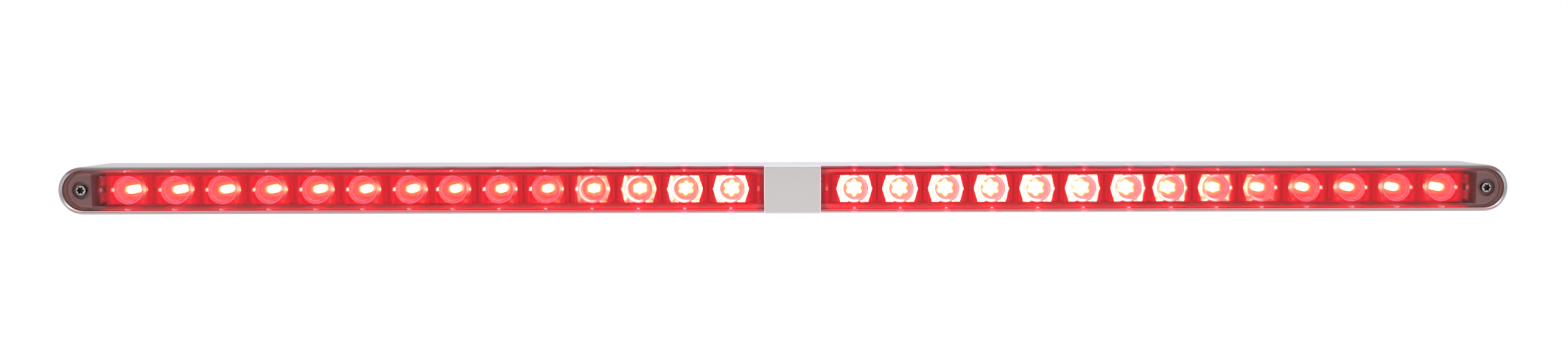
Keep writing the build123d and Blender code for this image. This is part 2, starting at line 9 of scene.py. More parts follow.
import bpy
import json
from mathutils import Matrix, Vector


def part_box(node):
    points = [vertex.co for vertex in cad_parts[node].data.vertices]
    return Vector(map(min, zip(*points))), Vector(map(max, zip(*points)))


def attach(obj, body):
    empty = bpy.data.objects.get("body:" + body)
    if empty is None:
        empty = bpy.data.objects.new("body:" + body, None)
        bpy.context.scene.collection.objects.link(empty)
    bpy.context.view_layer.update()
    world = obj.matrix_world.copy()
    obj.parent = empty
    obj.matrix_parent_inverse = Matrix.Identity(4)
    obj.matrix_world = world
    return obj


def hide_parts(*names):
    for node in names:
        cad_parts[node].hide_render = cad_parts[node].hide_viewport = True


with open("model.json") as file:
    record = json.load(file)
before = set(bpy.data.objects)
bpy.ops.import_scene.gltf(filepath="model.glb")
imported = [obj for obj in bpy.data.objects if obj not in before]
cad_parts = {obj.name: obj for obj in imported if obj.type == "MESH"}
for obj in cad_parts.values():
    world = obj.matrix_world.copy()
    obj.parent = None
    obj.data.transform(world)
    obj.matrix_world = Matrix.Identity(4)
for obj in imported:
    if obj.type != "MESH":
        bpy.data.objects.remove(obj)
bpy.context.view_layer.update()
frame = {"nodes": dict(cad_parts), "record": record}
nodes = frame["nodes"]
print(len(nodes), "pieces from the model")

# %% Other modules
import bmesh
import bpy
import json
from math import cos, pi, radians, sin, sqrt
from mathutils import Matrix, Vector

MM = 0.001
SIDES = ("left", "right")
LEDS = range(1, 15)
print(len(SIDES) * len(LEDS), "emitters in all")

# %% [markdown]
# ## Read the places we need
#
# Nothing here is measured twice. The middle of each emitter, the lens's face and the height of a cell
# all come from the boxes of the model's own pieces, so if the model changes, so does the look.
# Shapes are drawn lying on their backs in millimetres, x along the lamp, y up it and z towards the
# viewer, because that is how the eye meets them. One matrix stands them up at the end.

# %% Measures from the frame
STAND_UP = Matrix(((MM, 0, 0, 0), (0, 0, -MM, 0), (0, MM, 0, 0), (0, 0, 0, 1)))


def forward_range(node):
    """Where a piece starts and ends towards the viewer, in millimetres."""
    low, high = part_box(node)
    return -high.y / MM, -low.y / MM


def middle_x(node):
    low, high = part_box(node)
    return (low.x + high.x) / 2 / MM


led_x = {side: [middle_x(f"{side}_led_{n:02d}") for n in LEDS] for side in SIDES}
bar_middle = {side: middle_x(f"{side}_lens") for side in SIDES}
LENS_FRONT = forward_range("left_lens")[1]
BOARD_FRONT = forward_range("left_circuit_board")[1]
OPTIC_FRONT = forward_range("left_inner_optics")[1]
STRIP_BACK, CELL_FRONT = forward_range("left_inner_reflector")
BAR_HALF_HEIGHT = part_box("left_lens")[1].z / MM
BAR_HALF_LENGTH = (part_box("left_lens")[1].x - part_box("left_lens")[0].x) / 2 / MM
STRIP_HALF_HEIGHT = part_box("left_inner_reflector")[1].z / MM
LED_PITCH = led_x["left"][1] - led_x["left"][0]
FIRST_LED = led_x["left"][7] - bar_middle["left"]
print(f"emitters every {LED_PITCH:.1f} mm, lens face {LENS_FRONT:.1f} mm forward")

# %% [markdown]
# ## The camera
#
# The lamp is very wide and very low, so it is looked at from close in front and a little above, with a
# wide lens. That shows the front almost flat, a thin strip of the chrome top, and each emitter from a
# slightly different angle. A small sideways shift frames both ends equally.

# %% Place the camera
CAMERA_PLACE = Vector((7.3, -589.5, 49.8)) * MM
CAMERA_TURN = -1.41
CAMERA_TILT = -4.35
FOCAL_LENGTH = 30.6
SIDE_SHIFT = -0.0373

camera_data = bpy.data.cameras.new("camera")
camera_data.lens = FOCAL_LENGTH
camera_data.sensor_width = 36.0
camera_data.sensor_fit = "HORIZONTAL"
camera_data.shift_x = SIDE_SHIFT
camera_data.clip_start = 0.01
camera = bpy.data.objects.new("camera", camera_data)
camera.location = CAMERA_PLACE
camera.rotation_euler = (radians(90 + CAMERA_TILT), 0, radians(CAMERA_TURN))
bpy.context.scene.collection.objects.link(camera)
bpy.context.scene.camera = camera
bpy.context.scene.view_settings.view_transform = "Standard"
print("camera", tuple(round(v, 3) for v in camera.location))

# %% [markdown]
# ## The studio
#
# Chrome has no colour of its own: it shows the room. Bright white behind and above the lamp, and a
# softer grey on the viewer's side, give the top its pale shine and the front its calm grey. The room
# is the world, painted by direction, with one wide softbox overhead for the highlights.

# %% Light the room
ROOM_BEHIND = (1.0, 1.0, 1.0)
ROOM_IN_FRONT = (0.60, 0.585, 0.59)
ROOM_ABOVE = (1.45, 1.45, 1.46)


def light_room():
    world = bpy.data.worlds.new("studio")
    world.use_nodes = True
    tree = world.node_tree
    direction = tree.nodes.new("ShaderNodeTexCoord")
    split = tree.nodes.new("ShaderNodeSeparateXYZ")
    tree.links.new(direction.outputs["Generated"], split.inputs[0])
    colour = None
    for axis, start, end, other in (("Y", -0.25, 0.15, ROOM_BEHIND), ("Z", 0.45, 0.8, ROOM_ABOVE)):
        ramp = tree.nodes.new("ShaderNodeMapRange")
        ramp.inputs["From Min"].default_value = start
        ramp.inputs["From Max"].default_value = end
        tree.links.new(split.outputs[axis], ramp.inputs["Value"])
        blend = tree.nodes.new("ShaderNodeMix")
        blend.data_type = "RGBA"
        blend.inputs[6].default_value = (*ROOM_IN_FRONT, 1)
        blend.inputs[7].default_value = (*other, 1)
        tree.links.new(ramp.outputs["Result"], blend.inputs[0])
        if colour:
            tree.links.new(colour, blend.inputs[6])
        colour = blend.outputs[2]
    tree.links.new(colour, tree.nodes["Background"].inputs["Color"])
    bpy.context.scene.world = world


def softbox(name, place, aim, size, power, colour):
    data = bpy.data.lights.new(name, "AREA")
    data.shape = "RECTANGLE"
    data.size, data.size_y = size
    data.energy = power
    data.color = colour
    lamp = bpy.data.objects.new(name, data)
    lamp.location = place
    lamp.rotation_euler = (Vector(aim) - Vector(place)).to_track_quat("-Z", "Y").to_euler()
    bpy.context.scene.collection.objects.link(lamp)
    return lamp


light_room()
softbox("softbox_top", (0, -0.4, 0.9), (0, 0, 0), (1.4, 0.4), 4, (1.0, 0.98, 1.0))
print("room and softbox ready")

# %% [markdown]
# ## Finishes
#
# Every finish starts from one helper: a Principled shader whose roughness and bump come from fine
# noise in the piece's own coordinates. Noise in metres needs a large scale: 4000 is a grain of a
# quarter of a millimetre. Values that don't vary are typed straight into the shader's sockets.

# %% A finish with noise in it
def finish(name, colour, metallic=0.0, rough=(0.4, 0.5), grain=3000.0, depth=0.02, mottle=0.0):
    """A Principled finish with noise in its roughness, its bump and, if mottle, its colour."""
    material = bpy.data.materials.new(name)
    material.use_nodes = True
    nodes_, links = material.node_tree.nodes, material.node_tree.links
    shader = nodes_["Principled BSDF"]
    shader.inputs["Base Color"].default_value = (*colour, 1)
    shader.inputs["Metallic"].default_value = metallic
    place = nodes_.new("ShaderNodeTexCoord")
    noise = nodes_.new("ShaderNodeTexNoise")
    noise.inputs["Scale"].default_value = grain
    noise.inputs["Detail"].default_value = 3
    links.new(place.outputs["Object"], noise.inputs["Vector"])
    ramp = nodes_.new("ShaderNodeMapRange")
    ramp.inputs["To Min"].default_value, ramp.inputs["To Max"].default_value = rough
    links.new(noise.outputs["Fac"], ramp.inputs["Value"])
    links.new(ramp.outputs["Result"], shader.inputs["Roughness"])
    bump = nodes_.new("ShaderNodeBump")
    bump.inputs["Strength"].default_value = depth
    bump.inputs["Distance"].default_value = 0.1 * MM
    links.new(noise.outputs["Fac"], bump.inputs["Height"])
    links.new(bump.outputs["Normal"], shader.inputs["Normal"])
    if mottle:
        shade = nodes_.new("ShaderNodeMix")
        shade.data_type = "RGBA"
        shade.inputs[6].default_value = (*(c * (1 - mottle) for c in colour), 1)
        shade.inputs[7].default_value = (*(min(1, c * (1 + mottle)) for c in colour), 1)
        links.new(noise.outputs["Fac"], shade.inputs[0])
        links.new(shade.outputs[2], shader.inputs["Base Color"])
    return material


def principled(material):
    return material.node_tree.nodes["Principled BSDF"]


print("finish helper ready")

# %% [markdown]
# Where a finish changes along the lamp, its nodes work out a place: how far along, how high, how deep,
# how near the next emitter. One long chain of Math nodes is hard to read, so a helper adds one node a
# line. The places come from Object coordinates, which belong to the piece and stay with it when it
# moves.

# %% Node arithmetic in one line
def maths(material, operation, *values, clamp=False):
    """A Math node. Each value is a number or another node's output."""
    node = material.node_tree.nodes.new("ShaderNodeMath")
    node.operation = operation
    node.use_clamp = clamp
    for socket, value in zip(node.inputs, values):
        if isinstance(value, (int, float)):
            socket.default_value = value
        else:
            material.node_tree.links.new(value, socket)
    return node.outputs[0]


def lying_coordinates(material):
    """Object coordinates in millimetres: x along the lamp, y up it, z towards the viewer."""
    place = material.node_tree.nodes.new("ShaderNodeTexCoord")
    split = material.node_tree.nodes.new("ShaderNodeSeparateXYZ")
    material.node_tree.links.new(place.outputs["Object"], split.inputs[0])
    x, y, z = split.outputs
    return (maths(material, "DIVIDE", x, MM),
            maths(material, "DIVIDE", z, MM),
            maths(material, "DIVIDE", y, -MM))


def band(material, value, middle, half_width, softness):
    """1 where value is within half_width of middle, fading to 0 over softness."""
    away = maths(material, "ABSOLUTE", maths(material, "SUBTRACT", value, middle))
    inside = maths(material, "SUBTRACT", half_width + softness, away)
    return maths(material, "DIVIDE", inside, softness, clamp=True)


def rising(material, value, start, length):
    """0 up to start, then rising evenly to 1 over length."""
    return maths(material, "DIVIDE", maths(material, "SUBTRACT", value, start), length, clamp=True)


def falling(material, value, stop, length):
    """1 until length before stop, then falling evenly to 0 at stop."""
    return maths(material, "DIVIDE", maths(material, "SUBTRACT", stop, value), length, clamp=True)


def product(material, first, *others):
    for other in others:
        first = maths(material, "MULTIPLY", first, other)
    return first


def from_middle(material, x):
    return maths(material, "ABSOLUTE", x)


print("node helpers ready")

# %% Distances to a bar's middle and to an emitter
LAST_STEP = 6


def from_bar_middle(material, x):
    """Signed distance from the middle of the bar: positive towards the lamp's end."""
    return maths(material, "SUBTRACT", from_middle(material, x), bar_middle["right"])


def from_nearest_led(material, x, signed=False):
    """Distance along the lamp to the nearest emitter, which repeat evenly along each half bar."""
    outward = from_bar_middle(material, x)
    from_bar = maths(material, "ABSOLUTE", outward)
    steps = maths(material, "DIVIDE", maths(material, "SUBTRACT", from_bar, FIRST_LED), LED_PITCH)
    nearest = maths(material, "MAXIMUM", maths(material, "ROUND", steps), 0)
    nearest = maths(material, "MINIMUM", nearest, LAST_STEP)
    away = maths(material, "SUBTRACT", steps, nearest)
    if not signed:
        return maths(material, "MULTIPLY", maths(material, "ABSOLUTE", away), LED_PITCH)
    way = maths(material, "MULTIPLY", maths(material, "SIGN", outward), maths(material, "SIGN", x))
    return product(material, away, LED_PITCH, way)


print(f"first emitter {FIRST_LED:.1f} mm from a bar's middle")

# %% [markdown]
# Light that the clear parts carry or scatter is painted as glow. Several causes add up in one place,
# so each gets a weight and a colour, and the sum goes to the shader's emission.

# %% Glow from weighted colours
def add_colours(material, *weighted):
    """Adds colours, each multiplied by its own weight, and gives them to the shader as its glow."""
    channels = []
    for channel in range(3):
        total = 0.0
        for weight, colour in weighted:
            total = maths(material, "MULTIPLY_ADD", weight, colour[channel], total)
        channels.append(total)
    joined = material.node_tree.nodes.new("ShaderNodeCombineColor")
    for socket, value in zip(joined.inputs, channels):
        material.node_tree.links.new(value, socket)
    shader = principled(material)
    material.node_tree.links.new(joined.outputs[0], shader.inputs["Emission Color"])
    shader.inputs["Emission Strength"].default_value = 1.0
    material.cycles.emission_sampling = "NONE"


print("glow helper ready")

# %% [markdown]
# Every emitter aims straight ahead, so from in front the middle of the lamp looks brightest and the
# far ones show only a spot in a red cup. Following real lenses ray by ray would be slow, so one
# brightness along the lamp steers all the painted glow.

# %% How bright the light is along the lamp
BRIGHTEST_X, FULL_HALF, FADE = 55.0, 75.0, 85.0


def brightness(material, x):
    """1 over the lamp's brightest stretch, just right of the cap, fading to 0 towards both ends."""
    away = maths(material, "ABSOLUTE", maths(material, "SUBTRACT", x, BRIGHTEST_X))
    shares = maths(material, "DIVIDE", away, FADE)
    return maths(material, "SUBTRACT", 1 + FULL_HALF / FADE, shares, clamp=True)


print(f"brightest {BRIGHTEST_X:.0f} mm right of the middle")

# %% [markdown]
# ## Metal, rubber and board
#
# The housing and cap are plated plastic: mirror-bright, with a faint waviness that only shows in
# reflections. Screws and the back plate are duller steel. What is hidden inside gets its own finish
# too, because the lamp can be taken apart.

# %% Outer and hidden finishes
chrome = finish("chrome_plating", (0.57, 0.555, 0.56), 1.0, (0.10, 0.16), grain=60, depth=0.03)
principled(chrome).inputs["Specular Tint"].default_value = (0.90, 0.86, 0.97, 1)
cap_chrome = finish("cap_chrome", (0.595, 0.565, 0.565), 1.0, (0.12, 0.2), 90, 0.1, 0.03)
finishes = {
    "chrome_plating": chrome,
    "zinc_plate": finish("zinc_plate", (0.55, 0.56, 0.57), 0.9, (0.3, 0.5), 500, 0.1, 0.1),
    "foam_rubber": finish("foam_rubber", (0.02, 0.02, 0.021), 0, (0.8, 0.95), 2500, 0.8, 0.3),
    "black_rubber": finish("black_rubber", (0.015, 0.015, 0.016), 0, (0.5, 0.65), 1500, 0.2),
    "screw_steel": finish("screw_steel", (0.50, 0.50, 0.49), 0.95, (0.25, 0.4), 2500, 0.15, 0.12),
    "terminal_brass": finish("terminal_brass", (0.66, 0.48, 0.2), 0.95, (0.25, 0.4), 2000, 0.1, 0.1),
    "natural_nylon": finish("natural_nylon", (0.72, 0.69, 0.58), 0, (0.4, 0.55), 900, 0.1, 0.06),
    "supply_insulation": finish("supply_insulation", (0.45, 0.015, 0.015), 0, (0.35, 0.5), 900, 0.1),
    "ground_insulation": finish("ground_insulation", (0.012, 0.012, 0.013), 0, (0.35, 0.5), 900, 0.1),
    "dark_base_plastic": finish("dark_base_plastic", (0.17, 0.075, 0.075), 0, (0.35, 0.5),
                                2200, 0.15, 0.12),
    "white_board": finish("white_board", (0.62, 0.58, 0.54), 0, (0.35, 0.5), 1500, 0.1, 0.05),
    "resistor_ceramic": finish("resistor_ceramic", (0.02, 0.02, 0.022), 0, (0.4, 0.5), 3000, 0.1),
}
print(len(finishes), "plain finishes")

# %% [markdown]
# The chrome near the light gets a painted red reflection: its front rim is coloured as if it picked
# up the glow, most where the lamp is brightest, in the middle, with a painted pink glow over each
# emitter's column and painted shade on the rim's front face. The screws' six-lobed recess is a deep
# pocket that light hardly reaches, so the steel gets painted shade below the top of the head.

# %% Painted red reflection on the rim, painted shade in the recess
RIM_FRONT = forward_range("housing")[1]
SCREW_FRONT = forward_range("outer_screws")[1]
CAP_HALF_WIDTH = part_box("centre_cap")[1].x / MM
RED_REFLECTION_ENDS, RED_REFLECTION_FADE = 290, 200
RIM_ROUGHNESS = 0.38
FAR_START, FAR_LENGTH = 60, 170
SPILL_BACK, SPILL_LENGTH = 6, 20


def recolour(material, weight, other, socket="Base Color"):
    """Blends one of the shader's colours towards another where weight is 1."""
    shader = principled(material)
    blend = material.node_tree.nodes.new("ShaderNodeMix")
    blend.data_type = "RGBA"
    source = shader.inputs[socket]
    if source.links:
        material.node_tree.links.new(source.links[0].from_socket, blend.inputs[6])
    else:
        blend.inputs[6].default_value = source.default_value
    blend.inputs[7].default_value = (*other, 1)
    material.node_tree.links.new(weight, blend.inputs[0])
    material.node_tree.links.new(blend.outputs[2], source)


def paint_rim_reflections(material):
    x, y, z = lying_coordinates(material)
    half_length = from_middle(material, x)
    near_led = from_nearest_led(material, x)
    rim = rising(material, z, RIM_FRONT - 1.1, 0.5)
    lip = rising(material, z, RIM_FRONT - 0.5, 0.2)
    upper_lip = product(material, lip, maths(material, "SUBTRACT", y, 6.5, clamp=True))
    inward = falling(material, half_length, RED_REFLECTION_ENDS, RED_REFLECTION_FADE)
    column = maths(material, "MULTIPLY_ADD", band(material, near_led, 0, 1.0, 4), 0.25, 0.75)
    red_reflection = product(material, rim, column, inward)
    # Painted shade on the rim's front face, darker on its upper lip, and painted red reflection of the
    # glow on the rim.
    recolour(material, lip, (0.43, 0.41, 0.405))
    recolour(material, red_reflection, (0.55, 0.33, 0.34))
    recolour(material, upper_lip, (0.28, 0.265, 0.27))
    recolour(material, product(material, red_reflection, upper_lip), (0.26, 0.05, 0.06))
    # Painted shade: the chrome reflects less towards the ends, through its specular tint.
    far = rising(material, half_length, FAR_START, FAR_LENGTH)
    recolour(material, far, (0.62, 0.59, 0.66), "Specular Tint")
    shader = principled(material)
    polish = shader.inputs["Roughness"].links[0].from_socket
    softer = maths(material, "MAXIMUM", polish, product(material, rim, RIM_ROUGHNESS))
    material.node_tree.links.new(softer, shader.inputs["Roughness"])
    # A painted pink glow over each emitter's column, strongest where the lamp is brightest.
    forward = rising(material, z, SPILL_BACK, SPILL_LENGTH)
    spill = product(material, band(material, near_led, 0, 0.7, 1.3), brightness(material, x), forward)
    add_colours(material, (spill, (0.30, 0.03, 0.07)))
    # Painted red reflection along the rim's inner edge beside the lens.
    inner = band(material, maths(material, "ABSOLUTE", y), BAR_HALF_HEIGHT, 0.75, 0.3)
    inner = product(material, inner, maths(material, "MULTIPLY_ADD", inward, 0.5, 0.3))
    recolour(material, inner, (0.42, 0.02, 0.03))


def paint_cap_edge_highlights(material):
    """A painted highlight on the cap's rounded side edges: two thin upright lines of the white room.
    """
    x, y, z = lying_coordinates(material)
    edge = band(material, maths(material, "ABSOLUTE", x), CAP_HALF_WIDTH, 0.35, 0.25)
    recolour(material, maths(material, "MULTIPLY", edge, 0.8), (0.86, 0.83, 0.83))


paint_cap_edge_highlights(cap_chrome)
paint_rim_reflections(chrome)
steel = finishes["screw_steel"]
depth = lying_coordinates(steel)[2]
# Painted shade: the steel is darkened inside the screws' recess, below the top of the head.
in_recess = band(steel, depth, SCREW_FRONT - 1.2, 0.75, 0.1)
recolour(steel, in_recess, (0.03, 0.022, 0.022))
print("rim and recess ready")

# %% [markdown]
# ## The red light
#
# Each emitter is a white square package under a clear silicone dome. Run at full power it is far
# brighter than anything around it, so the eye sees its middle as white and only its edges as
# amber and red. The colour is a hot red-orange, made strong enough that its middle clips to white.

# %% Emitter finish
HOT = (1.0, 0.30, 0.12)
DOME_POWER = 30.0
PACKAGE_POWER = 1.6


def lit(name, colour, power, **more):
    """A finish that also glows, for what the emitters light from within."""
    material = finish(name, more.pop("base", colour), **more)
    principled(material).inputs["Emission Color"].default_value = (*colour, 1)
    principled(material).inputs["Emission Strength"].default_value = power
    material.cycles.emission_sampling = "NONE"
    return material


dome_light = lit("lit_dome", HOT, DOME_POWER, rough=(0.1, 0.2), base=(1, 0.5, 0.4))
package_light = lit("lit_package", (1.0, 0.12, 0.06), PACKAGE_POWER,
                    rough=(0.4, 0.5), base=(1, 0.6, 0.5))
print("emitters glow")

# %% [markdown]
# ## The reflector's finishes
#
# The strip of seven funnels is moulded, then coated with aluminium. Inside a funnel the coat is a
# mirror, tinted red as a painted reflection. The strip's other faces are mirror-coated too, but they
# face the lens, which throws the red light back at them from everywhere, so they get a painted red
# glow: solid red with softer edges.

# %% Mirror with painted red reflection, and coat with painted red glow
# The mirror's red tint is a painted reflection of the red light round it.
mirror = finish("mirror_coating", (0.90, 0.40, 0.40), 1.0, (0.05, 0.10), grain=700, depth=0.05)
MOULD_LINES = 0.85


def red_glow_painted(name, colour, power):
    """A coated face with a painted red glow, a little brighter towards the viewer."""
    material = lit(name, colour, power, rough=(0.4, 0.55), base=(0.16, 0.004, 0.006), grain=1500)
    principled(material).inputs["Specular IOR Level"].default_value = 0.06
    x, y, z = lying_coordinates(material)
    near = rising(material, z, BOARD_FRONT, CELL_FRONT - BOARD_FRONT)
    near = maths(material, "POWER", near, 2)
    glow = maths(material, "MULTIPLY_ADD", near, power * 0.5, power * 0.5)
    line = maths(material, "SINE", maths(material, "MULTIPLY", x, 2 * pi / MOULD_LINES))
    glow = maths(material, "MULTIPLY", glow, maths(material, "MULTIPLY_ADD", line, 0.1, 1))
    material.node_tree.links.new(glow, principled(material).inputs["Emission Strength"])
    return material


coat = red_glow_painted("red_washed_coat", (0.70, 0.006, 0.018), 1.0)
print("reflector finishes ready")

# %% [markdown]
# ## Tools for drawing pieces
#
# Pieces behind the lens repeat, so they are drawn with a few small moves: lay down an outline, pull
# its edge to the next outline, and close it. Each finished piece is stood up, given outward normals,
# and shaded smooth except across its real corners.

# %% Outline, pull and close
SHARP_EDGE = radians(32)


def outline(bm, points, z):
    """A closed loop of edges through the points, at height z. Returns its corners in order."""
    corners = [bm.verts.new((x, y, z)) for x, y in points]
    for pair in zip(corners, corners[1:] + corners[:1]):
        bm.edges.new(pair)
    return corners


def place_of(vert):
    return tuple(round(c, 5) for c in vert.co)


def pull(bm, corners, points, z, finish_number=0):
    """Extrudes a loop to the next outline, which has as many points, and returns the new corners."""
    edges = [bm.edges.get(pair) for pair in zip(corners, corners[1:] + corners[:1])]
    made = bmesh.ops.extrude_edge_only(bm, edges=edges)["geom"]
    for item in made:
        if isinstance(item, bmesh.types.BMFace):
            item.material_index = finish_number
    twins = {place_of(item): item for item in made if isinstance(item, bmesh.types.BMVert)}
    moved = [twins[place_of(corner)] for corner in corners]
    for vert, (x, y) in zip(moved, points):
        vert.co = (x, y, z)
    return moved


def box(bm, low, high, round_off=0.0):
    """A box between two corners, its edges rounded off if asked."""
    size = Vector(high) - Vector(low)
    middle = (Vector(high) + Vector(low)) / 2
    place = Matrix.Translation(middle) @ Matrix.Diagonal((*size, 1))
    made = bmesh.ops.create_cube(bm, size=1, matrix=place)
    if round_off:
        edges = {e for v in made["verts"] for e in v.link_edges}
        bmesh.ops.bevel(bm, geom=list(edges), offset=round_off, segments=2, profile=0.5,
                        affect="EDGES", material=-1)


def spun(bm, profile, centre, turns, finish_number=0):
    """Turns a profile of (radius, z) points round an upright axis."""
    before = set(bm.faces)
    verts = [bm.verts.new((centre[0] + r, centre[1], z)) for r, z in profile]
    edges = [bm.edges.new(pair) for pair in zip(verts, verts[1:])]
    bmesh.ops.spin(bm, geom=verts + edges, cent=(*centre, 0), axis=(0, 0, 1),
                   angle=2 * pi, steps=turns, use_merge=True)
    for face in set(bm.faces) - before:
        face.material_index = finish_number


def stand(bm, name, body, materials):
    """Finishes a lying drawing as an object in the frame, riding on its body."""
    bmesh.ops.remove_doubles(bm, verts=bm.verts, dist=0.0005)
    bmesh.ops.transform(bm, matrix=STAND_UP, verts=bm.verts)
    bmesh.ops.recalc_face_normals(bm, faces=bm.faces)
    for edge in bm.edges:
        edge.smooth = not (len(edge.link_faces) == 2 and edge.calc_face_angle(0) > SHARP_EDGE)
    for face in bm.faces:
        face.smooth = True
    mesh = bpy.data.meshes.new(name)
    bm.to_mesh(mesh)
    bm.free()
    piece = bpy.data.objects.new(name, mesh)
    bpy.context.scene.collection.objects.link(piece)
    for material in materials:
        mesh.materials.append(material)
    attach(piece, body)
    return piece


print("drawing tools ready")

# %% [markdown]
# ## The reflector strips
#
# Four strips, each a row of seven six-sided funnels. A funnel's walls are curved from back to front
# like a torch's mirror, but flat from side to side, so an emitter shows in each as a bright patch and
# the six patches together make a star. Round each funnel is a block, then a lower shoulder, then a
# thin web that ties the row together.

# %% Funnel sizes
FUNNEL_MOUTH = [(5.9, 5.7), (7.6, 0), (5.9, -5.7), (-5.9, -5.7), (-7.6, 0), (-5.9, 5.7)]
BLOCK_HALF, BLOCK_HALF_HEIGHT = 7.7, 5.9
SHOULDER_HALF, SHOULDER_HALF_HEIGHT = 9.3, 5.7
SHOULDER_FRONT = CELL_FRONT - 1.4
WEB_FRONT = STRIP_BACK + 2.2
EMITTER_PLANE = BOARD_FRONT + 1.4
FUNNEL_THROAT = 0.72
FUNNEL_STEPS = 6
LAST_LED_TO_END = 11.3
LUG_LENGTH, LUG_INNER, LUG_OUTER = 1.7, 1.5, 5.3


def funnel_share(z):
    """The funnel's width at height z as a share of its mouth, curved like a parabola."""
    rise = (z - EMITTER_PLANE) / (CELL_FRONT - EMITTER_PLANE)
    return sqrt(FUNNEL_THROAT ** 2 + (1 - FUNNEL_THROAT ** 2) * rise)


def around(x, points, share=1.0):
    return [(x + px * share, py * share) for px, py in points]


print(f"funnel {CELL_FRONT - EMITTER_PLANE:.1f} mm deep")

# %% One funnel block
def clamped(value, limit):
    return max(-limit, min(limit, value))


# The hexagon's own corners, pushed out until they meet the block's sides.
BLOCK_EDGE = [(clamped(x * 9, BLOCK_HALF), clamped(y * 9, BLOCK_HALF_HEIGHT)) for x, y in FUNNEL_MOUTH]


def funnel_block(bm, x):
    loop = outline(bm, around(x, FUNNEL_MOUTH, FUNNEL_THROAT), STRIP_BACK)
    loop = pull(bm, loop, around(x, FUNNEL_MOUTH, FUNNEL_THROAT), EMITTER_PLANE, 1)
    for step in range(1, FUNNEL_STEPS + 1):
        z = EMITTER_PLANE + (CELL_FRONT - EMITTER_PLANE) * step / FUNNEL_STEPS
        loop = pull(bm, loop, around(x, FUNNEL_MOUTH, funnel_share(z)), z, 1)
    loop = pull(bm, loop, around(x, BLOCK_EDGE, 0.99), CELL_FRONT)
    loop = pull(bm, loop, around(x, BLOCK_EDGE), CELL_FRONT - 0.12)
    pull(bm, loop, around(x, BLOCK_EDGE), STRIP_BACK)


print("a block's outline has", len(BLOCK_EDGE), "corners")

# %% A strip of seven
CENTRE_TO_START = 8.9


def reflector_strip(name, led_places, outward):
    """Outward is +1 or -1: the way from the strip's first emitter to the bar's end."""
    bm = bmesh.new()
    places = sorted(led_places, key=lambda x: x * outward)
    for x in places:
        funnel_block(bm, x)
        for way in (-1, 1):
            low, high = sorted((x + way * (BLOCK_HALF - 0.05), x + way * SHOULDER_HALF))
            box(bm, (low, -SHOULDER_HALF_HEIGHT, WEB_FRONT - 0.05),
                (high, SHOULDER_HALF_HEIGHT, SHOULDER_FRONT), 0.15)
    start = places[0] - outward * CENTRE_TO_START
    stop = places[-1] + outward * LAST_LED_TO_END
    low, high = min(start, stop), max(start, stop)
    for way in (-1, 1):
        bottom, top = sorted((way * 5.75, way * STRIP_HALF_HEIGHT))
        box(bm, (low, bottom, STRIP_BACK), (high, top, WEB_FRONT), 0.12)
        bottom, top = sorted((way * LUG_INNER, way * LUG_OUTER))
        lug_low, lug_high = sorted((stop - outward * 0.05, stop + outward * LUG_LENGTH))
        box(bm, (lug_low, bottom, STRIP_BACK), (lug_high, top, WEB_FRONT), 0.15)
    for a, b in zip(places, places[1:]):
        low, high = sorted((a + outward * (BLOCK_HALF - 0.1), b - outward * (BLOCK_HALF - 0.1)))
        box(bm, (low, -5.8, STRIP_BACK), (high, 5.8, WEB_FRONT))
    for edge, way in ((start, 1), (stop, -1)):
        nearest = places[0] if way > 0 else places[-1]
        low, high = sorted((edge, nearest - way * outward * (BLOCK_HALF - 0.1)))
        box(bm, (low, -5.8, STRIP_BACK), (high, 5.8, WEB_FRONT))
    return stand(bm, name, "lamp", [coat, mirror])


print(f"a strip ends {LAST_LED_TO_END} mm past its last emitter")

# %% Make the four strips
MODULES = {"outer": slice(0, 7), "inner": slice(7, 14)}


def outward_of(side, end):
    return (-1 if side == "left" else 1) * (1 if end == "outer" else -1)


for side in SIDES:
    for end, leds in MODULES.items():
        strip = reflector_strip(f"{side}_{end}_funnels", led_x[side][leds], outward_of(side, end))
        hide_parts(f"{side}_{end}_reflector")
        print(strip.name, len(strip.data.polygons), "faces")

# %% [markdown]
# ## The clear optics
#
# Over each funnel sits a clear disc with a raised ring, moulded in rows of seven on two thin rails
# that run above and below. Its ring shows as a bright circle, a painted glow on its outer wall. The
# disc is thin here, so the painted star behind it stays crisp.

# %% Clear plastic
def clear(name, colour, rough, bend, body):
    """Clear plastic. Body is how much of it bends and mirrors light: the rest is open to view."""
    material = finish(name, colour, 0.0, rough, grain=900, depth=0.01)
    shader = principled(material)
    shader.inputs["Transmission Weight"].default_value = 1.0
    shader.inputs["IOR"].default_value = bend
    shader.inputs["Specular IOR Level"].default_value = 0.3
    shader.inputs["Alpha"].default_value = body
    return material


DISC_BODY, LENS_BODY = 0.28, 0.2
optic_plastic = clear("clear_optic", (1, 0.94, 0.94), (0.02, 0.05), 1.49, DISC_BODY)
print("clear plastic ready")

# %% [markdown]
# The body of the optic behind the disc is a cup. Light enters at its floor, round the dome, spreads in
# six rays towards the corners of the funnel, and the rest washes the cup's wall in pink: all of it is
# painted on as glow. The outside of the cup has a painted glow as bright as an emitter near its foot,
# and that is what the funnel's mirrors show.

